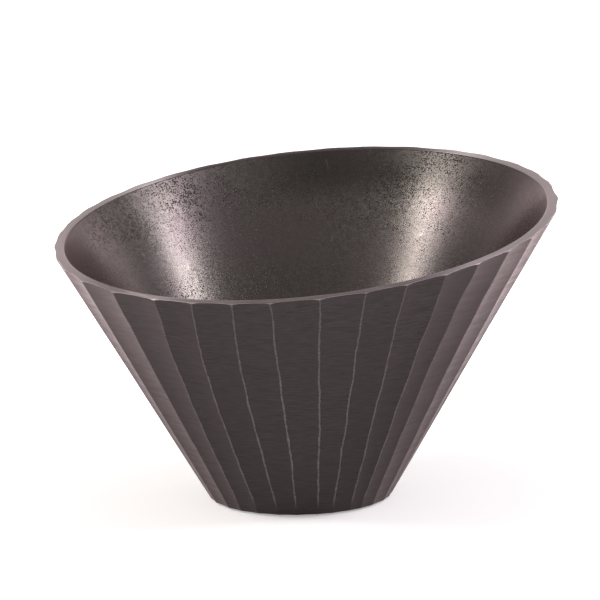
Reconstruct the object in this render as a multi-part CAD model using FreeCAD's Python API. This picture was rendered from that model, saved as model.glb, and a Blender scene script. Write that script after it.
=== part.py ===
"""A tapered metal bowl with a slanted rim, cast in one piece and ground with hollow flutes, on a felt disc.

Frame: millimetres, +Z up. The origin is the point of the resting plane under the centre of the foot, and +Y
points to the side where the rim stands highest. The YZ plane is the plane of the rim's slant.
"""
import FreeCAD
import Part

import math
import os

from FreeCAD import Vector

# Driving dimensions of the casting, in millimetres and degrees.
FOOT_RADIUS = 55.0          # to the ridges, at the bottom of the casting
WALL_ANGLE = 30.4           # between a ridge and the vertical
RIM_HEIGHT = 163.5          # of the rim's plane above the foot, on the axis
RIM_TILT = 9.9              # of the rim's plane, up towards +Y
WALL_THICKNESS = 6.0        # square to the wall, under a ridge
FLOOR_THICKNESS = 9.0
FLOOR_CORNER_RADIUS = 24.0  # inside, between floor and wall
LIP_INNER_RADIUS = 1.2      # rounding of the rim's inner edge
LIP_OUTER_BEVEL = 0.6       # bevel of the rim's outer edge
FOOT_BEVEL = 0.6            # bevel of the bottom's outer edge
RECESS_RADIUS = 46.0        # hollow under the foot, inside the ring that it leaves
RECESS_DEPTH = 1.6
RECESS_BEVEL = 0.8

# The flutes are hollow across and widen from foot to rim, with a sharp ridge between each and the next.
# Hand grinding leaves them uneven: the tuples go anticlockwise from the first ridge, in degrees.
FIRST_RIDGE_RIM = 202.8
RIM_WIDTHS = (
    9.5, 9.7, 11.4, 13.1, 13.2, 10.5, 10.0, 9.1, 11.2, 10.7, 9.8, 10.2,
    8.7, 10.2, 9.7, 9.3, 9.0, 9.2, 11.2, 10.0, 9.4, 10.6, 9.0, 10.8,
    9.6, 8.8, 10.4, 9.2, 10.2, 8.8, 9.6, 10.6, 9.0, 9.8, 9.3, 9.2,
)
FIRST_RIDGE_FOOT = 195.8
FOOT_WIDTHS = (
    10.0, 11.0, 11.6, 16.0, 10.8, 12.8, 13.2, 11.6, 12.3, 9.4, 11.7, 8.6,
    10.1, 13.5, 9.9, 10.0, 9.6, 9.4, 8.8, 9.4, 8.2, 9.6, 8.4, 9.2,
    8.6, 8.0, 9.4, 8.2, 9.0, 8.4, 8.8, 9.2, 8.4, 9.0, 8.8, 9.1,
)
# How far each ridge bows sideways at half its height.
RIDGE_BOWS = (
    -0.4, -0.4, -0.5, -0.6, -1.0, -2.3, -2.9, -1.7, 0.1, 0.5, 0.0, 0.0,
    -0.4, -1.4, -1.5, -0.2, 0.3, -0.4, -0.8, 0.5, 0.9, -0.3, -1.2, 0.4,
    1.0, 0.2, -0.9, -0.5, 0.7, 1.1, -0.2, -1.0, -0.4, 0.8, 0.3, -0.6,
)
FLUTE_HOLLOW = 0.030        # depth of a flute below its chord, as a share of its width
SECTIONS = 6                # levels at which the flutes are drawn, from foot to rim

# The felt disc, stuck in the hollow under the foot. The bowl stands on it.
FELT_RADIUS = 45.4
FELT_THICKNESS = 2.6
FELT_EDGE = 0.4             # bevel round the face that meets the table

SLOPE = math.tan(math.radians(WALL_ANGLE))
RIM_SLOPE = math.tan(math.radians(RIM_TILT))
FOOT_Z = FELT_THICKNESS - RECESS_DEPTH
WALL_ACROSS = WALL_THICKNESS / math.cos(math.radians(WALL_ANGLE))
CAVITY_TOP = 220.0          # above the foot, clear of the highest side of the rim


def ridge_angle(index, share):
    """Angle about the axis, in degrees, of one ridge at a share of the way from foot to rim."""
    at_rim = FIRST_RIDGE_RIM + sum(RIM_WIDTHS[:index])
    at_foot = FIRST_RIDGE_FOOT + sum(FOOT_WIDTHS[:index])
    return at_rim + (at_foot - at_rim) * (1 - share) ** 2 + RIDGE_BOWS[index] * math.sin(math.pi * share)


def level(share, y):
    """Z of a level plane: flat at the foot, and tilting with height until it is the rim's plane."""
    return FOOT_Z + share * (RIM_HEIGHT + RIM_SLOPE * y)


def ridge_point(index, share):
    turn = math.radians(ridge_angle(index, share))
    radius = (FOOT_RADIUS + SLOPE * share * RIM_HEIGHT) / (1 - SLOPE * share * RIM_SLOPE * math.sin(turn))
    y = radius * math.sin(turn)
    return Vector(radius * math.cos(turn), y, level(share, y))


def fluted_section(share):
    """Closed wire round the bowl in one level plane: an inward arc for each flute."""
    ridges = [ridge_point(i, share) for i in range(len(RIM_WIDTHS))]
    ridges.append(ridges[0])
    arcs = []
    for start, end in zip(ridges, ridges[1:]):
        middle = (start + end) * 0.5
        outward = Vector(middle.x, middle.y, 0).normalize()
        hollow = middle - outward * (FLUTE_HOLLOW * (end - start).Length)
        hollow.z = level(share, hollow.y)
        arcs.append(Part.Arc(start, hollow, end).toShape())
    return Part.Wire(arcs)


def fluted_cone():
    """The outside of the bowl, up to the rim's slanted plane."""
    return Part.makeLoft([fluted_section(i / (SECTIONS - 1)) for i in range(SECTIONS)], True, False)


def cavity():
    """The inside of the bowl: a smooth cone on a flat floor, with a round corner between them."""
    wall_at_floor = FOOT_RADIUS + SLOPE * FLOOR_THICKNESS - WALL_ACROSS
    wall_at_top = FOOT_RADIUS + SLOPE * CAVITY_TOP - WALL_ACROSS
    corner = Vector(wall_at_floor, 0, FOOT_Z + FLOOR_THICKNESS)
    # The arc touches the floor and the wall at this distance from their corner.
    tangent = FLOOR_CORNER_RADIUS * math.tan(math.radians(90 - WALL_ANGLE) / 2)
    up_wall = Vector(math.sin(math.radians(WALL_ANGLE)), 0, math.cos(math.radians(WALL_ANGLE)))
    floor_end = corner - Vector(tangent, 0, 0)
    wall_start = corner + up_wall * tangent
    centre = floor_end + Vector(0, 0, FLOOR_CORNER_RADIUS)
    arc_middle = centre + (corner - centre).normalize() * FLOOR_CORNER_RADIUS
    floor_centre = Vector(0, 0, FOOT_Z + FLOOR_THICKNESS)
    wall_end = Vector(wall_at_top, 0, FOOT_Z + CAVITY_TOP)
    axis_top = Vector(0, 0, FOOT_Z + CAVITY_TOP)
    outline = [
        Part.LineSegment(floor_centre, floor_end),
        Part.Arc(floor_end, arc_middle, wall_start),
        Part.LineSegment(wall_start, wall_end),
        Part.LineSegment(wall_end, axis_top),
        Part.LineSegment(axis_top, floor_centre),
    ]
    face = Part.Face(Part.Wire([piece.toShape() for piece in outline]))
    return face.revolve(Vector(0, 0, 0), Vector(0, 0, 1), 360)


def foot_recess():
    """The shallow hollow under the foot, wider at its mouth by a bevel."""
    mouth = Part.makeCone(RECESS_RADIUS + RECESS_BEVEL, RECESS_RADIUS, RECESS_BEVEL, Vector(0, 0, FOOT_Z))
    return Part.makeCylinder(RECESS_RADIUS, RECESS_DEPTH, Vector(0, 0, FOOT_Z)).fuse(mouth).removeSplitter()


def edges_in_level(shape, share, nearest, farthest):
    """The edges that lie in one level plane, between two distances inside the line of the ridges."""
    found = []
    for edge in shape.Edges:
        points = edge.discretize(7)
        if any(abs(p.z - level(share, p.y)) > 0.01 for p in points):
            continue
        insets = [FOOT_RADIUS + SLOPE * (p.z - FOOT_Z) - math.hypot(p.x, p.y) for p in points]
        if nearest < max(insets) < farthest:
            found.append(edge)
    return found


def bowl_casting():
    """The whole bowl in one piece: fluted outside, smooth inside, with a flat slanted lip."""
    body = fluted_cone().cut(cavity()).cut(foot_recess())
    deepest_flute = 0.5 * WALL_ACROSS
    body = body.makeFillet(LIP_INNER_RADIUS, edges_in_level(body, 1, deepest_flute, 1.5 * WALL_ACROSS))
    body = body.makeChamfer(LIP_OUTER_BEVEL, edges_in_level(body, 1, -1, deepest_flute))
    body = body.makeChamfer(FOOT_BEVEL, edges_in_level(body, 0, -1, deepest_flute))
    return body.Solids[0]


def felt_disc():
    """The disc under the foot, bevelled where it meets the table. Its top is stuck to the recess."""
    edge = Part.makeCone(FELT_RADIUS - FELT_EDGE, FELT_RADIUS, FELT_EDGE)
    disc = Part.makeCylinder(FELT_RADIUS, FELT_THICKNESS - FELT_EDGE, Vector(0, 0, FELT_EDGE))
    return disc.fuse(edge).removeSplitter()


def main():
    os.makedirs("parts", exist_ok=True)
    nodes = {"bowl_casting": bowl_casting(), "felt_disc": felt_disc()}
    for name, shape in nodes.items():
        shape.exportStep(f"parts/{name}.step")
        box = shape.optimalBoundingBox()
        print(f"{name}: {len(shape.Solids)} solid, valid {shape.isValid()}, {shape.Volume / 1000:.1f} cm3")
        print(f"  {box.XLength:.1f} x {box.YLength:.1f} x {box.ZLength:.1f} mm, z {box.ZMin:.2f} to {box.ZMax:.2f}")


main()
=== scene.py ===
"""A tapered cast bowl with a slanted rim and hollow-ground flutes, in a dark patina, on a felt disc.

The dimensions are in millimetres, as in the CAD source. The meshes are made in metres.
"""
import math

import bpy
import numpy as np
from mathutils import Matrix, Vector, noise


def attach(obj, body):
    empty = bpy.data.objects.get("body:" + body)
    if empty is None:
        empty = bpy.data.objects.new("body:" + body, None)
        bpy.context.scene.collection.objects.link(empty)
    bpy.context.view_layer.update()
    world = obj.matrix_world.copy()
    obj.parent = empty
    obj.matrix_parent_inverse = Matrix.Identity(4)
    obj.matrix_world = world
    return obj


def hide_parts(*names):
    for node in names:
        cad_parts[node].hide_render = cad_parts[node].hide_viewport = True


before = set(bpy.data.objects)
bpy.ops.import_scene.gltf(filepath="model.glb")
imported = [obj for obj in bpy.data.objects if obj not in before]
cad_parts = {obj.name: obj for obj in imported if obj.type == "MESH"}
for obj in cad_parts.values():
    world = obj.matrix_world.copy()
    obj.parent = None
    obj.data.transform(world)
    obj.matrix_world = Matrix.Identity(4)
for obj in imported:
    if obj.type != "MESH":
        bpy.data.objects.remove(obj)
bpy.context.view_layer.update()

MM = 0.001

# The casting and the felt, as in the CAD source.
FOOT_RADIUS = 55.0
WALL_ANGLE = math.radians(30.4)
RIM_HEIGHT = 163.5
RIM_TILT = math.radians(9.9)
WALL_THICKNESS = 6.0
FLOOR_THICKNESS = 9.0
FLOOR_CORNER_RADIUS = 24.0
RECESS_RADIUS = 46.0
RECESS_DEPTH = 1.6
RECESS_BEVEL = 0.8
FELT_RADIUS = 45.4
FELT_THICKNESS = 2.6
FOOT_Z = FELT_THICKNESS - RECESS_DEPTH
SLOPE = math.tan(WALL_ANGLE)
RIM_SLOPE = math.tan(RIM_TILT)
WALL_ACROSS = WALL_THICKNESS / math.cos(WALL_ANGLE)

# The flutes, in degrees: where the first ridge is and how wide each one is, at the rim and at the foot, and
# how far each ridge bows between them.
FIRST_RIDGE_RIM = 202.8
RIM_WIDTHS = (
    9.5, 9.7, 11.4, 13.1, 13.2, 10.5, 10.0, 9.1, 11.2, 10.7, 9.8, 10.2,
    8.7, 10.2, 9.7, 9.3, 9.0, 9.2, 11.2, 10.0, 9.4, 10.6, 9.0, 10.8,
    9.6, 8.8, 10.4, 9.2, 10.2, 8.8, 9.6, 10.6, 9.0, 9.8, 9.3, 9.2,
)
FIRST_RIDGE_FOOT = 195.8
FOOT_WIDTHS = (
    10.0, 11.0, 11.6, 16.0, 10.8, 12.8, 13.2, 11.6, 12.3, 9.4, 11.7, 8.6,
    10.1, 13.5, 9.9, 10.0, 9.6, 9.4, 8.8, 9.4, 8.2, 9.6, 8.4, 9.2,
    8.6, 8.0, 9.4, 8.2, 9.0, 8.4, 8.8, 9.2, 8.4, 9.0, 8.8, 9.1,
)
RIDGE_BOWS = (
    -0.4, -0.4, -0.5, -0.6, -1.0, -2.3, -2.9, -1.7, 0.1, 0.5, 0.0, 0.0,
    -0.4, -1.4, -1.5, -0.2, 0.3, -0.4, -0.8, 0.5, 0.9, -0.3, -1.2, 0.4,
    1.0, 0.2, -0.9, -0.5, 0.7, 1.1, -0.2, -1.0, -0.4, 0.8, 0.3, -0.6,
)
FLUTES = len(RIM_WIDTHS)
FLUTE_HOLLOW = 0.030        # depth of a flute, as a share of its width

# What the grinding and filing by hand leave, which the CAD source has no need of.
RIDGE_WAVER = 0.45          # degrees that a ridge strays by, over a length of about WAVER_LENGTH
WAVER_LENGTH = 21.0
WALL_LENGTH = 190.0         # of the wall along its slope, roughly
ARRIS_REACH = 0.55          # width of the rubbed rounding to each side of a ridge
ARRIS_DEPTH = 0.07
FACET_RIPPLE = 0.06         # depth of the unevenness across a flute
BEVEL_AT_RIDGE = 0.95       # filed bevel outside the lip, widest where it cuts a ridge
BEVEL_AT_HOLLOW = 0.32
BEVEL_WAVER = 0.35          # how far the bevel's width strays
BEVEL_DROP = 1.15           # how far down the wall the bevel reaches, as a share of its width
LIP_ROUND = 1.2             # rounding of the lip's inner edge
LIP_FALL = 0.3              # how much lower the filed lip is at its outer edge
FOOT_BEVEL = 0.6
CRISP = 0.1                 # how far from an edge a ring lies that keeps it crisp
BEVEL_APPROACH = (0.9, 0.495, 0.12)     # how far under the bevel the wall's last rings lie

# Places across a flute, from ridge to ridge, close together near the ridges.
ACROSS = (0.0, 0.014, 0.032, 0.075, 0.16, 0.27, 0.385, 0.5, 0.615, 0.73, 0.84, 0.925, 0.968, 0.986)
COLUMNS = len(ACROSS) * FLUTES
WALL_ROWS = 74
INNER_ROWS = 46
CORNER_ROWS = 10
FLOOR_RINGS = (28.0, 16.0, 7.0, 1.5)
# Shares of the way from foot to rim: the outside's first two rings and its last, clear of both bevels, and
# where the inside's rows are counted down from.
WALL_START = (0.0035, 0.0045)
WALL_END = 0.978
INSIDE_START = 0.982

# The camera, and the point it is aimed at, to the right of the bowl's axis.
CAMERA_AZIMUTH = math.radians(25.3)
CAMERA_ELEVATION = math.radians(9.71)
CAMERA_DISTANCE = 1556.0
CAMERA_ROLL = math.radians(1.30)
CAMERA_LENS = 156.0
AIM_RIGHT = 2.05
AIM_HEIGHT = 118.45 + FOOT_Z


# ---------------------------------------------------------------- shape of the bowl

def uneven(*place):
    """Smooth noise from -1 to 1. A factor in the place sets how fast it varies from point to point."""
    return noise.noise(Vector(place))


def ridge_angle(index, share):
    """Angle about the axis, in degrees, of one ridge at a share of the way from foot to rim."""
    at_rim = FIRST_RIDGE_RIM + sum(RIM_WIDTHS[:index])
    at_foot = FIRST_RIDGE_FOOT + sum(FOOT_WIDTHS[:index])
    lean = (at_foot - at_rim) * (1 - share) ** 2
    bow = RIDGE_BOWS[index] * math.sin(math.pi * share)
    waver = uneven(share * WALL_LENGTH / WAVER_LENGTH, 7.3 * index, 0.0) * RIDGE_WAVER
    return at_rim + lean + bow + waver


def level(share, y):
    """Height at a share of the way from foot to rim. The nearer the rim, the more the level tilts."""
    return FOOT_Z + share * (RIM_HEIGHT + RIM_SLOPE * y)


def cone_radius(at_foot, turn, height, tilt):
    """Radius at an angle where a cone of the wall's slope meets the plane z = FOOT_Z + height + tilt * y."""
    return (at_foot + SLOPE * height) / (1 - SLOPE * tilt * np.sin(turn))


def ridge_point(index, share):
    """One point of a ridge, on the cone, at a share of the way from foot to rim."""
    turn = math.radians(ridge_angle(index, share))
    radius = cone_radius(FOOT_RADIUS, turn, share * RIM_HEIGHT, share * RIM_SLOPE)
    x, y = radius * math.cos(turn), radius * math.sin(turn)
    return np.array((x, y, level(share, y)))


def wall_ring(share):
    """Points round the outside at one share, each one's place across its flute, and the flute's width."""
    ridges = [ridge_point(i, share) for i in range(FLUTES)]
    points, across, widths = [], [], []
    for i in range(FLUTES):
        start, end = ridges[i], ridges[(i + 1) % FLUTES]
        width = float(np.linalg.norm(end - start))
        outward = (start + end) * (0.5, 0.5, 0.0)
        outward /= np.linalg.norm(outward)
        for t in ACROSS:
            distance = min(t, 1 - t) * width
            hollow = 4 * t * (1 - t)
            ripple = uneven(i * 5.1 + t * 2.2, share * 7.0, 3.0)
            inset = (FLUTE_HOLLOW * width + FACET_RIPPLE * ripple) * hollow
            inset += ARRIS_DEPTH * max(0.0, 1 - distance / ARRIS_REACH) ** 2
            point = start + (end - start) * t - outward * inset
            point[2] = level(share, point[1])
            points.append(point)
            across.append(t * width)
            widths.append(width)
    return np.array(points), np.array(across), np.array(widths)


def inside_points(turn, height, tilt):
    """Points of the cavity's cone on the plane z = FOOT_Z + height + tilt * y, at the angles given."""
    radius = cone_radius(FOOT_RADIUS - WALL_ACROSS, turn, height, tilt)
    y = radius * np.sin(turn)
    return np.stack((radius * np.cos(turn), y, FOOT_Z + height + tilt * y), 1)


def angles(points):
    """Each point's angle about the axis."""
    return np.arctan2(points[:, 1], points[:, 0])


def outward_at(turn):
    """Level vectors of length 1, pointing away from the axis."""
    return np.stack((np.cos(turn), np.sin(turn), 0 * turn), 1)


def unit(vectors):
    return vectors / np.linalg.norm(vectors, axis=1)[:, None]


def raised(z):
    return np.array((0, 0, z))


def bezier(a, b, c, t):
    """The rounding of a corner b, from a to c."""
    return a * (1 - t) ** 2 + b * (2 * t * (1 - t)) + c * t ** 2


def make_ring(zone, points, across=None, width=None):
    """One ring of the mesh. The places across the flutes matter only to the outside's material."""
    return {
        "zone": zone,
        "points": points,
        "across": np.zeros(COLUMNS) if across is None else across,
        "width": np.ones(COLUMNS) if width is None else width,
        "up": (points[:, 2] - FOOT_Z) / math.cos(WALL_ANGLE),
    }


def underside_rings():
    """The recess for the felt, the flat of the foot and the lower edge of its bevel."""
    foot = wall_ring(0.0)[0]
    outward = outward_at(angles(foot))
    profile = (
        (0.5, RECESS_DEPTH),
        (RECESS_RADIUS - CRISP, RECESS_DEPTH),
        (RECESS_RADIUS, RECESS_DEPTH - CRISP),
        (RECESS_RADIUS, RECESS_BEVEL + CRISP),
        (RECESS_RADIUS + RECESS_BEVEL - CRISP, CRISP),
        (RECESS_RADIUS + RECESS_BEVEL + 0.15, 0.0),
        (RECESS_RADIUS + 4.5, 0.0),
    )
    rings = [outward * radius + raised(FOOT_Z + height) for radius, height in profile]
    # A ring to each side of the bevel's lower edge. The wall's first ring is its upper one.
    bevel_edge = foot - outward * FOOT_BEVEL
    rings.append(bevel_edge - outward * 0.12)
    rings.append(bevel_edge + outward * 0.05 + raised(0.04))
    return [make_ring("under", points) for points in rings]


def wall_rings():
    """The outside, from just above the foot's bevel to just under the rim's."""
    first, second = WALL_START
    shares = [first, second, *(second + (WALL_END - second) * np.linspace(0, 1, WALL_ROWS)[1:])]
    return [make_ring("outside", *wall_ring(share)) for share in shares]


def bevel_width(rim):
    """Width of the filed bevel at each point of the rim, uneven, and narrow where a flute is hollow."""
    turn = angles(rim)
    waver = np.array([uneven(math.cos(a) * 4.0, math.sin(a) * 4.0, 9.0) for a in turn])
    hollow = cone_radius(FOOT_RADIUS, turn, RIM_HEIGHT, RIM_SLOPE) - np.hypot(rim[:, 0], rim[:, 1])
    return np.maximum(BEVEL_AT_RIDGE + BEVEL_WAVER * waver - hollow, BEVEL_AT_HOLLOW)[:, None]


def rim_rings():
    """The top of the wall, the filed bevel, the lip and its rounded inner edge."""
    rim, across, width = wall_ring(1.0)
    turn = angles(rim)
    inner = inside_points(turn, RIM_HEIGHT, RIM_SLOPE)
    # The directions down both walls are taken from points just below the rim.
    down = unit(wall_ring(0.99)[0] - rim)
    inner_down = unit(inside_points(turn, RIM_HEIGHT * 0.98, RIM_SLOPE * 0.98) - inner)
    inward = unit(inner - rim)
    bevel = bevel_width(rim)
    bevel_low = rim + down * bevel * BEVEL_DROP
    bevel_high = rim + inward * bevel + down * LIP_FALL

    # The wall's last rings, then the bevel, with a ring close to each side of both its edges.
    rings = [make_ring("outside", bevel_low + down * gap, across, width) for gap in BEVEL_APPROACH]
    rings.append(make_ring("lip", bevel_low + inward * 0.03))
    rings += [make_ring("lip", bevel_low + (bevel_high - bevel_low) * t) for t in (0.1, 0.9)]
    rings.append(make_ring("lip", bevel_high + inward * CRISP))

    # The lip slopes down a little outward. The end of its rounding has the inside's finish.
    lip_start = rim + inward * (bevel + 0.25) + down * LIP_FALL * 0.95
    lip_end = inner - inward * LIP_ROUND
    rings += [make_ring("lip", lip_start * (1 - t) + lip_end * t) for t in (0.0, 0.33, 0.66, 1.0)]
    for t in (0.2, 0.4, 0.6, 0.8, 1.0):
        points = bezier(lip_end, inner, inner + inner_down * LIP_ROUND, t)
        rings.append(make_ring("lip" if t < 0.7 else "inside", points))
    return rings


def inside_rings():
    """The cavity's tapering wall, from the rim's slant to level, then its corner and its floor."""
    turn = angles(wall_ring(1.0)[0])
    outward = outward_at(turn)
    corner_swing = math.pi / 2 - WALL_ANGLE
    corner_reach = FLOOR_CORNER_RADIUS * math.tan(corner_swing / 2)
    corner_top = FLOOR_THICKNESS + corner_reach * math.cos(WALL_ANGLE)
    rings = []
    for row in range(1, INNER_ROWS + 1):
        t = row / INNER_ROWS
        share = INSIDE_START * (1 - t)
        rings.append(inside_points(turn, corner_top * t + share * RIM_HEIGHT, RIM_SLOPE * share))
    floor_radius = FOOT_RADIUS + SLOPE * FLOOR_THICKNESS - WALL_ACROSS - corner_reach
    for row in range(1, CORNER_ROWS + 1):
        swing = corner_swing * (1 - row / CORNER_ROWS)
        radius = floor_radius + FLOOR_CORNER_RADIUS * math.sin(swing)
        height = FLOOR_THICKNESS + FLOOR_CORNER_RADIUS * (1 - math.cos(swing))
        rings.append(outward * radius + raised(FOOT_Z + height))
    rings += [outward * radius + raised(FOOT_Z + FLOOR_THICKNESS) for radius in FLOOR_RINGS]
    return [make_ring("inside", points) for points in rings]


# The bowl's finishes, in the order of its material slots.
ZONES = ("under", "outside", "lip", "inside")


def build_bowl():
    """The rings joined, from the middle of the underside up, over the lip and down to the cavity's floor."""
    rings = underside_rings() + wall_rings() + rim_rings() + inside_rings()
    middles = np.stack((raised(FOOT_Z + RECESS_DEPTH), raised(FOOT_Z + FLOOR_THICKNESS)))
    points = np.concatenate([ring["points"] for ring in rings] + [middles])
    faces, zones, places, flutes = [], [], [], []
    for row, (low, high) in enumerate(zip(rings, rings[1:])):
        here, above = row * COLUMNS, (row + 1) * COLUMNS
        for column in range(COLUMNS):
            after = (column + 1) % COLUMNS
            faces.append((here + column, here + after, above + after, above + column))
            zones.append(ZONES.index(high["zone"]))
            last = after % len(ACROSS) == 0
            corners = ((low, column, False), (low, after, last), (high, after, last), (high, column, False))
            for ring, corner, at_end in corners:
                half = ring["width"][column] / 2
                across = (2 * half if at_end else ring["across"][corner]) - half
                places.append((across, ring["up"][corner], half - abs(across)))
                flutes.append(column // len(ACROSS) + 1.0)
    top = (len(rings) - 1) * COLUMNS
    for column in range(COLUMNS):
        after = (column + 1) % COLUMNS
        faces.append((column, len(points) - 2, after))
        faces.append((top + column, top + after, len(points) - 1))
        zones += [ZONES.index("under"), ZONES.index("inside")]
        places += [(0.0, 0.0, 0.0)] * 6
        flutes += [0.0] * 6
    mesh = bpy.data.meshes.new("bowl")
    mesh.from_pydata((points * MM).tolist(), [], faces)
    mesh.polygons.foreach_set("material_index", zones)
    mesh.polygons.foreach_set("use_smooth", [True] * len(faces))
    # For the outside's material: the flute's number, and in millimetres the place across the flute from its
    # middle, the distance up the wall and the gap to the nearer ridge.
    place = mesh.attributes.new("place", "FLOAT_VECTOR", "CORNER")
    place.data.foreach_set("vector", np.array(places, dtype=np.float32).ravel())
    number = mesh.attributes.new("flute", "FLOAT", "CORNER")
    number.data.foreach_set("value", np.array(flutes, dtype=np.float32))
    mesh.update()
    bowl = bpy.data.objects.new("bowl", mesh)
    bpy.context.collection.objects.link(bowl)
    return bowl


bowl = build_bowl()
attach(bowl, "root")
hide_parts("bowl_casting")


# ---------------------------------------------------------------- materials

BOWL_METALLIC = 0.85        # the patina dulls the metal a little
GRAZING_TINT = (1.0, 0.86, 0.87, 1.0)

# Stretches of the rim, in degrees: a direction about the axis, how far to each side of it the mark is full,
# and how far there is any. Over two a highlight is painted; over one, on the high side, painted shade.
HIGHLIGHT_STRETCHES = ((33.0, 35.0, 55.0), (191.0, 35.0, 55.0))
LIP_SHADE_STRETCH = (112.0, 20.0, 40.0)
# Where the inside is darker, just under the lip.
UNDER_LIP_DARK_STRETCH = (87.0, 18.0, 43.0)


class Nodes:
    """Short calls for building a node tree."""

    def __init__(self, name):
        self.material = bpy.data.materials.new(name)
        self.material.use_nodes = True
        self.tree = self.material.node_tree
        self.shader = self.tree.nodes["Principled BSDF"]

    def new(self, kind, inputs=(), **settings):
        node = self.tree.nodes.new(kind)
        for key, value in settings.items():
            setattr(node, key, value)
        for key, value in dict(inputs).items():
            if isinstance(value, bpy.types.NodeSocket):
                self.tree.links.new(value, node.inputs[key])
            else:
                node.inputs[key].default_value = value
        return node

    def math(self, operation, *values):
        """Each value here and below is a socket or a number."""
        return self.new("ShaderNodeMath", enumerate(values), operation=operation).outputs[0]

    def add(self, a, b):
        return self.math("ADD", a, b)

    def subtract(self, a, b):
        return self.math("SUBTRACT", a, b)

    def times(self, a, b):
        return self.math("MULTIPLY", a, b)

    def mix(self, factor, a, b):
        return self.new("ShaderNodeMix", {0: factor, 2: a, 3: b}, data_type="FLOAT").outputs[0]

    def mix_colour(self, factor, a, b):
        return self.new("ShaderNodeMix", {0: factor, 6: a, 7: b}, data_type="RGBA").outputs[2]

    def ramp(self, value, low, high, low_to=0.0, high_to=1.0):
        """low_to where the value is low or less, high_to where it is high or more, and smooth between."""
        return self.new("ShaderNodeMapRange", {0: value, 1: low, 2: high, 3: low_to, 4: high_to},
                        interpolation_type="SMOOTHSTEP").outputs[0]

    def noise(self, vector, scale, detail=2.0, rough=0.5):
        """Smooth noise around 0.5, which varies so many times in a unit of the vector."""
        return self.new("ShaderNodeTexNoise", {"Vector": vector, "Scale": scale, "Detail": detail,
                                               "Roughness": rough}).outputs[0]

    def cells(self, vector, scale):
        """Distance from the middle of the nearest random cell, in cells."""
        return self.new("ShaderNodeTexVoronoi", {"Vector": vector, "Scale": scale}).outputs["Distance"]

    def vector(self, x, y, z):
        return self.new("ShaderNodeCombineXYZ", {0: x, 1: y, 2: z}).outputs[0]

    def split(self, vector):
        return self.new("ShaderNodeSeparateXYZ", {0: vector}).outputs

    def attribute(self, name, output):
        node = self.new("ShaderNodeAttribute", attribute_name=name, attribute_type="GEOMETRY")
        return node.outputs[output]

    def place(self):
        """The object's own coordinates, in metres."""
        return self.new("ShaderNodeTexCoord").outputs["Object"]

    def radius(self, x, y):
        """Distance from the axis."""
        return self.math("SQRT", self.add(self.times(x, x), self.times(y, y)))

    def bump(self, height, strength, distance):
        return self.new("ShaderNodeBump", {"Height": height, "Strength": strength,
                                           "Distance": distance}).outputs[0]

    def stretch(self, turn, middle, full, end):
        """1 within so many degrees of a direction about the axis, falling to 0 further away."""
        nearness = self.math("COSINE", self.subtract(turn, math.radians(middle)))
        return self.ramp(nearness, math.cos(math.radians(end)), math.cos(math.radians(full)))

    def plug(self, **sockets):
        """Set the shader's sockets by their names, in lower case with underscores."""
        for key, value in sockets.items():
            socket = self.shader.inputs[key.replace("_", " ").title()]
            if isinstance(value, bpy.types.NodeSocket):
                self.tree.links.new(value, socket)
            else:
                socket.default_value = value

    def plug_metal(self, **sockets):
        """What the bowl's finishes have in common, and each one's own sockets."""
        self.plug(metallic=BOWL_METALLIC, specular_tint=GRAZING_TINT, **sockets)


def patina(value, red=1.17, blue=1.03):
    """The patina's colour, a grey with a little red in it, at one brightness."""
    return (value * red, value, value * blue, 1.0)


def inside_patina(value):
    """The patina inside, which is a little browner."""
    return patina(value, 1.12, 0.93)


def felt_grey(value):
    """The felt's colour, nearly neutral."""
    return patina(value, 1.03, 0.98)


def outside_metal():
    """Flutes ground crosswise under a dark patina, which is rubbed thin along the ridges."""
    n = Nodes("bowl_outside")
    flute = n.attribute("flute", "Fac")
    across, up, gap = n.split(n.attribute("place", "Vector"))
    solid = n.place()
    each = n.new("ShaderNodeTexWhiteNoise", {"W": flute}, noise_dimensions="1D").outputs["Value"]

    # Grinding lines run across each flute, a little askew on each.
    askew = n.times(n.subtract(each, 0.5), 0.12)
    up_line = n.add(up, n.times(across, askew))
    lines_at = n.vector(n.times(across, 0.07), up_line, n.times(flute, 13.7))
    fine = n.noise(lines_at, 1.5, 4.0, 0.68)
    coarse = n.noise(lines_at, 0.33, 2.0, 0.5)
    cloudy = n.noise(solid, 21.0, 3.0, 0.55)
    tiny = n.noise(solid, 900.0, 2.0, 0.6)

    # Rubbed ridges, most in the lower half, less towards the rim and hardly at all beside the foot.
    along = n.vector(n.times(flute, 5.1), up, n.times(gap, 0.6))
    patchy = n.noise(along, 0.16, 2.0, 0.6)
    broken = n.noise(along, 0.9, 3.0, 0.7)
    reach = n.ramp(patchy, 0.3, 0.7, 0.36, 0.96)
    worn = n.ramp(n.math("DIVIDE", gap, reach), 0.3, 1.1, 1.0, 0.0)
    worn = n.times(worn, n.ramp(broken, 0.30, 0.66, 0.18, 1.0))
    worn = n.times(worn, n.ramp(up, 3.0, 14.0))
    worn = n.times(worn, n.ramp(up, 70.0, 180.0, 1.0, 0.50))

    base = n.mix_colour(n.ramp(fine, 0.30, 0.70), patina(0.0165), patina(0.0365))
    base = n.mix_colour(n.ramp(cloudy, 0.35, 0.7, 0.0, 0.4), base, patina(0.026))
    base = n.mix_colour(n.ramp(each, 0.0, 1.0, 0.0, 0.26), base, patina(0.033, 1.17, 1.12))
    base = n.mix_colour(worn, base, patina(0.108, 1.16, 1.0))
    rough = n.add(n.ramp(fine, 0.25, 0.75, 0.35, 0.47), n.ramp(coarse, 0.3, 0.7, -0.03, 0.03))
    rough = n.mix(worn, rough, 0.42)
    height = n.add(n.times(fine, 0.8), n.times(coarse, 0.5))
    height = n.add(height, n.times(tiny, 0.26))
    n.plug_metal(base_color=base, roughness=rough, normal=n.bump(height, 0.45, 0.0002))
    return n.material


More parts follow.
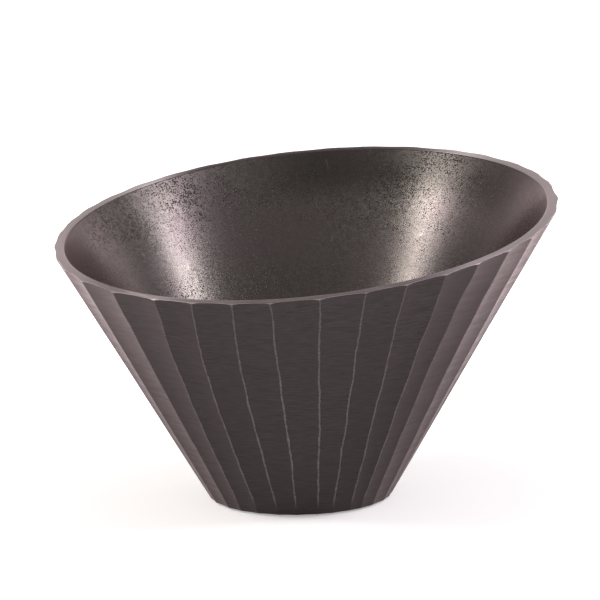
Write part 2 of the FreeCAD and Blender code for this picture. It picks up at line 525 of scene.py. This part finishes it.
def lip_metal():
    """The lip, filed and rubbed round the rim, paler than the walls, with a painted highlight and painted
    shade.
    """
    n = Nodes("bowl_lip")
    solid = n.place()
    x, y = n.split(solid)[:2]
    turn = n.math("ARCTAN2", y, x)

    # File marks that run round the rim.
    lines_at = n.vector(n.times(n.radius(x, y), 1 / MM), n.times(turn, 2.5), 0.0)
    fine = n.noise(lines_at, 1.6, 4.0, 0.65)
    cloudy = n.noise(solid, 90.0, 3.0, 0.6)
    base = n.mix_colour(n.ramp(fine, 0.3, 0.7), patina(0.135), patina(0.29))
    base = n.mix_colour(n.ramp(cloudy, 0.4, 0.7, 0.0, 0.4), base, patina(0.15))

    # A highlight painted into the lip's colour over two stretches, at its sides.
    painted_highlight = n.math("MAXIMUM", *[n.stretch(turn, *stretch) for stretch in HIGHLIGHT_STRETCHES])
    base = n.mix_colour(n.times(painted_highlight, 0.75), base, patina(0.46, 1.07, 1.0))
    # Painted shade darkens the lip over one stretch, on its high side.
    painted_lip_shade = n.stretch(turn, *LIP_SHADE_STRETCH)
    base = n.mix_colour(n.times(painted_lip_shade, 0.7), base, patina(0.03))
    # The file marks draw a highlight out across the lip.
    tangent = n.new("ShaderNodeTangent", direction_type="RADIAL", axis="Z").outputs[0]
    n.plug_metal(base_color=base, roughness=n.ramp(fine, 0.3, 0.7, 0.36, 0.46), tangent=tangent,
                 normal=n.bump(fine, 0.35, 0.00012), anisotropic=0.92, anisotropic_rotation=0.25)
    return n.material


def pits(n, solid, x, y, below, patch, mottle):
    """Small pits and a few large ones, in patches, which thin out on the low side and at +X."""
    size = n.add(n.ramp(patch, 0.36, 0.66, 0.19, 0.41), n.ramp(x, 0.06, 0.10, 0.05, -0.30))
    size = n.add(size, n.ramp(y, -0.03, 0.02, -0.35, 0.0))
    # The small ones are finer deeper down.
    size = n.add(size, n.ramp(below, 18.0, 48.0, 0.04, -0.12))
    small = n.ramp(n.subtract(n.cells(solid, 1020.0), size), -0.05, 0.05, 1.0, 0.0)
    small = n.times(small, n.ramp(mottle, 0.36, 0.54))

    large_size = n.ramp(patch, 0.50, 0.72, 0.0, 0.26)
    large = n.ramp(n.subtract(n.cells(solid, 560.0), large_size), -0.04, 0.04, 1.0, 0.0)
    large = n.times(large, n.times(n.ramp(x, 0.06, 0.09, 1.0, 0.0), n.ramp(y, -0.02, 0.02)))
    return n.math("MAXIMUM", small, large)


def scratches(n, solid, x, y, z):
    """Short fine scratches, where a wandering upright line crosses a patch of wear."""
    upright = n.vector(x, y, n.times(z, 0.25))
    line = n.math("ABSOLUTE", n.subtract(n.noise(upright, 90.0, 1.0, 0.3), 0.5))
    wear = n.ramp(n.noise(solid, 75.0, 1.0, 0.5), 0.62, 0.70)
    return n.times(n.ramp(line, 0.001, 0.008, 1.0, 0.0), wear)


def inside_metal():
    """The smooth inside, mottled, finely pitted and scratched, duller in a band below the lip."""
    n = Nodes("bowl_inside")
    solid = n.place()
    x, y, z = n.split(solid)
    cloudy = n.noise(solid, 18.0, 4.0, 0.6)
    patch = n.noise(solid, 30.0, 4.0, 0.62)
    mottle = n.noise(solid, 330.0, 3.0, 0.6)
    grain = n.noise(solid, 950.0, 3.0, 0.7)

    # Millimetres below the plane of the rim.
    rim_z = n.add(n.times(y, RIM_SLOPE), (FOOT_Z + RIM_HEIGHT) * MM)
    below = n.times(n.subtract(rim_z, z), 1 / MM)
    # The dull band is narrower towards +X, and its edge is uneven.
    narrower = n.add(n.math("MULTIPLY_ADD", x, 30.0, 8.0), n.ramp(patch, 0.3, 0.7, -7.0, 7.0))
    dull = n.ramp(n.add(below, narrower), 9.0, 26.0, 1.0, 0.0)

    pit = pits(n, solid, x, y, below, patch, mottle)
    scratch = scratches(n, solid, x, y, z)
    # Turning marks, level with the rim, and scattered bright specks painted as glints.
    turned_at = n.vector(n.times(x, 90.0), n.times(y, 90.0), below)
    streak = n.noise(turned_at, 0.9, 3.0, 0.65)
    painted_glints = n.times(n.ramp(n.cells(solid, 620.0), 0.10, 0.22, 1.0, 0.0), n.ramp(cloudy, 0.45, 0.65))

    base = n.mix_colour(n.ramp(grain, 0.3, 0.7), inside_patina(0.070), inside_patina(0.122))
    base = n.mix_colour(n.ramp(mottle, 0.38, 0.62, 0.0, 0.55), base, inside_patina(0.066))
    base = n.mix_colour(n.ramp(cloudy, 0.38, 0.62, 0.0, 0.75), base, patina(0.078, 1.24, 1.04))
    base = n.mix_colour(n.times(pit, 0.95), base, patina(0.026))
    # Painted shade, darker with depth; darker just under the lip on the high side;
    # and painted shade, darker again deep down at +X.
    base = n.mix_colour(n.ramp(below, 35.0, 95.0, 0.0, 0.30), base, inside_patina(0.045))
    darker_under_lip = n.stretch(n.math("ARCTAN2", y, x), *UNDER_LIP_DARK_STRETCH)
    darker_under_lip = n.times(darker_under_lip, n.ramp(below, 12.0, 32.0, 0.78, 0.0))
    base = n.mix_colour(darker_under_lip, base, inside_patina(0.03))
    # Painted shade, deep down at +X.
    painted_deep_shade = n.times(n.ramp(below, 24.0, 62.0), n.ramp(x, -0.02, 0.02, 0.0, 0.45))
    base = n.mix_colour(painted_deep_shade, base, inside_patina(0.03))
    # The painted glints.
    base = n.mix_colour(n.times(painted_glints, 0.5), base, inside_patina(0.18))
    base = n.mix_colour(n.times(scratch, 0.45), base, patina(0.24))

    rough = n.add(n.ramp(grain, 0.25, 0.75, 0.21, 0.29), n.ramp(cloudy, 0.3, 0.7, -0.02, 0.03))
    rough = n.add(rough, n.times(dull, 0.08))
    rough = n.add(rough, n.ramp(streak, 0.3, 0.7, -0.015, 0.015))
    rough = n.mix(pit, rough, 0.75)
    height = n.add(n.times(mottle, 0.14), n.times(grain, 0.26))
    height = n.add(height, n.times(streak, 0.05))
    height = n.subtract(height, n.times(pit, 0.4))
    n.plug_metal(base_color=base, roughness=rough, normal=n.bump(height, 0.45, 0.00028))
    return n.material


def under_metal():
    """The foot's underside, as cast."""
    n = Nodes("bowl_under")
    mottle = n.noise(n.place(), 120.0, 4.0, 0.6)
    base = n.mix_colour(n.ramp(mottle, 0.3, 0.7), patina(0.03), patina(0.06))
    n.plug_metal(base_color=base, roughness=n.ramp(mottle, 0.3, 0.7, 0.45, 0.6),
                 normal=n.bump(mottle, 0.4, 0.0003))
    return n.material


def felt():
    """Dark pressed felt, with short crossing fibres."""
    n = Nodes("felt")
    solid = n.place()
    fibres = n.noise(solid, 700.0, 4.0, 0.7)
    clumps = n.noise(solid, 110.0, 3.0, 0.6)
    base = n.mix_colour(n.ramp(fibres, 0.3, 0.7), felt_grey(0.016), felt_grey(0.045))
    base = n.mix_colour(n.ramp(clumps, 0.4, 0.7, 0.0, 0.5), base, felt_grey(0.03))
    n.plug(base_color=base, roughness=0.95, sheen_weight=0.3, normal=n.bump(fibres, 0.7, 0.0006))
    return n.material


# In the order of ZONES.
for material in (under_metal(), outside_metal(), lip_metal(), inside_metal()):
    bowl.data.materials.append(material)


# ---------------------------------------------------------------- felt disc

FELT_STEPS = 180
FELT_FUZZ = 0.10            # how ragged its edge is
FELT_LIFT = 0.05            # how uneven its face is


def build_felt():
    """A disc with a soft, slightly ragged edge, made from the middle of its lower face outward and up."""
    # The radius and height of each ring: the lower face, its soft edge, and the side.
    profile = [(radius, 0.0) for radius in (12.0, 24.0, 34.0, 41.0)]
    profile += [(FELT_RADIUS - 0.5, 0.0), (FELT_RADIUS - 0.15, 0.12), (FELT_RADIUS, 0.5)]
    profile += [(FELT_RADIUS, 2.1), (FELT_RADIUS - 0.2, FELT_THICKNESS)]
    points, faces = [(0.0, 0.0, 0.0)], []
    for radius, z in profile:
        for step in range(FELT_STEPS):
            turn = 2 * math.pi * step / FELT_STEPS
            c, s = math.cos(turn), math.sin(turn)
            ragged = radius - abs(FELT_FUZZ * uneven(c * 40, s * 40, z))
            lift = FELT_LIFT * (1 + uneven(radius * c / 4, radius * s / 4, 2.0))
            points.append((ragged * c, ragged * s, z if z > 0 else lift))
    points.append((0.0, 0.0, FELT_THICKNESS))
    top = 1 + (len(profile) - 1) * FELT_STEPS
    for step in range(FELT_STEPS):
        after = (step + 1) % FELT_STEPS
        faces.append((0, 1 + after, 1 + step))
        for ring in range(len(profile) - 1):
            low = 1 + ring * FELT_STEPS
            high = low + FELT_STEPS
            faces.append((low + step, low + after, high + after, high + step))
        faces.append((top + step, top + after, len(points) - 1))
    mesh = bpy.data.meshes.new("felt_base")
    mesh.from_pydata([tuple(c * MM for c in point) for point in points], [], faces)
    mesh.polygons.foreach_set("use_smooth", [True] * len(faces))
    mesh.update()
    piece = bpy.data.objects.new("felt_base", mesh)
    bpy.context.collection.objects.link(piece)
    piece.data.materials.append(felt())
    return piece


felt_base = build_felt()
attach(felt_base, "root")
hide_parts("felt_disc")


# ---------------------------------------------------------------- camera, floor and lights

# The floor, in metres. Its glow grows between two radii, from one strength to another, to a studio white.
FLOOR_STEPS = 96
FLOOR_RADII = (0.5, 1.5)
FLOOR_GLOW = (0.12, 0.46, 0.33, 1.26)

# Name, degrees to the right of the camera, degrees up, size, watts and colour.
SOFTBOXES = (
    ("softbox_left", -87.5, 39.5, (0.60, 2.4), 89.0, (1.01, 0.99, 0.94)),
    ("softbox_right", 83.0, 40.5, (0.66, 2.4), 77.0, (1.01, 0.98, 1.02)),
    ("softbox_back", 125.0, 21.0, (1.9, 1.1), 8.2, (1.04, 0.96, 1.0)),
)
SOFTBOX_DISTANCE = 4.0
SOFTBOX_AIM = Vector((0, 0, 0.14))

# The sky, white up to one height in degrees and dimmer from another.
SKY_WHITE_TO = 8
SKY_DIM_FROM = 28
SKY_LOW = (1.46, 1.36, 1.38, 1.0)
SKY_HIGH = (0.47, 0.45, 0.44, 1.0)


def turned(x, y, z):
    """A point given from the camera's side, with x to its right, y away from it and z up."""
    c, s = math.cos(CAMERA_AZIMUTH), math.sin(CAMERA_AZIMUTH)
    return Vector((c * x - s * y, s * x + c * y, z))


def add_camera():
    data = bpy.data.cameras.new("camera")
    data.lens = CAMERA_LENS
    data.sensor_width = 36.0
    data.clip_start = 0.05
    data.clip_end = 50.0
    camera = bpy.data.objects.new("camera", data)
    bpy.context.collection.objects.link(camera)
    aim = turned(AIM_RIGHT, 0, AIM_HEIGHT)
    back = turned(0, -math.cos(CAMERA_ELEVATION), math.sin(CAMERA_ELEVATION))
    turn = (-back).to_track_quat("-Z", "Y").to_matrix() @ Matrix.Rotation(-CAMERA_ROLL, 3, "Z")
    camera.matrix_world = Matrix.Translation((aim + back * CAMERA_DISTANCE) * MM) @ turn.to_4x4()
    bpy.context.scene.camera = camera


def add_floor():
    """A round pale floor, far wider than the object."""
    points, faces = [(0.0, 0.0, 0.0)], []
    for radius in FLOOR_RADII:
        for step in range(FLOOR_STEPS):
            turn = 2 * math.pi * step / FLOOR_STEPS
            points.append((radius * math.cos(turn), radius * math.sin(turn), 0.0))
    for step in range(FLOOR_STEPS):
        near = 1 + step
        near_after = 1 + (step + 1) % FLOOR_STEPS
        faces.append((0, near, near_after))
        faces.append((near, near + FLOOR_STEPS, near_after + FLOOR_STEPS, near_after))
    mesh = bpy.data.meshes.new("floor")
    mesh.from_pydata(points, [], faces)
    mesh.polygons.foreach_set("use_smooth", [True] * len(faces))
    floor = bpy.data.objects.new("floor", mesh)
    bpy.context.collection.objects.link(floor)
    n = Nodes("floor")
    x, y = n.split(n.place())[:2]
    n.plug(base_color=(0.92, 0.92, 0.92, 1.0), roughness=0.9, emission_color=(1.0, 0.96, 0.97, 1.0),
           emission_strength=n.ramp(n.radius(x, y), *FLOOR_GLOW))
    floor.data.materials.append(n.material)


def add_softbox(name, around, rise, size, power, colour):
    """One lamp, aimed at the middle of the bowl."""
    around, rise = math.radians(around), math.radians(rise)
    toward = turned(math.sin(around) * math.cos(rise), -math.cos(around) * math.cos(rise), math.sin(rise))
    place = SOFTBOX_AIM + toward * SOFTBOX_DISTANCE
    data = bpy.data.lights.new(name, "AREA")
    data.shape = "RECTANGLE"
    data.size, data.size_y = size
    data.energy = power
    data.color = colour
    light = bpy.data.objects.new(name, data)
    bpy.context.collection.objects.link(light)
    turn = (SOFTBOX_AIM - place).to_track_quat("-Z", "Y").to_matrix()
    light.matrix_world = Matrix.Translation(place) @ turn.to_4x4()


def add_sky():
    """White all round near the horizon, and dimmer above."""
    world = bpy.data.worlds.new("studio")
    world.use_nodes = True
    tree = world.node_tree
    direction = tree.nodes.new("ShaderNodeTexCoord").outputs["Generated"]
    parts = tree.nodes.new("ShaderNodeSeparateXYZ")
    height = tree.nodes.new("ShaderNodeMapRange")
    height.interpolation_type = "SMOOTHSTEP"
    height.inputs["From Min"].default_value = math.sin(math.radians(SKY_WHITE_TO))
    height.inputs["From Max"].default_value = math.sin(math.radians(SKY_DIM_FROM))
    colour = tree.nodes.new("ShaderNodeMix")
    colour.data_type = "RGBA"
    colour.inputs[6].default_value = SKY_LOW
    colour.inputs[7].default_value = SKY_HIGH
    tree.links.new(direction, parts.inputs[0])
    tree.links.new(parts.outputs[2], height.inputs[0])
    tree.links.new(height.outputs[0], colour.inputs[0])
    tree.links.new(colour.outputs[2], tree.nodes["Background"].inputs[0])
    bpy.context.scene.world = world


add_camera()
add_floor()
for softbox in SOFTBOXES:
    add_softbox(*softbox)
add_sky()
bpy.context.scene.view_settings.view_transform = "Standard"
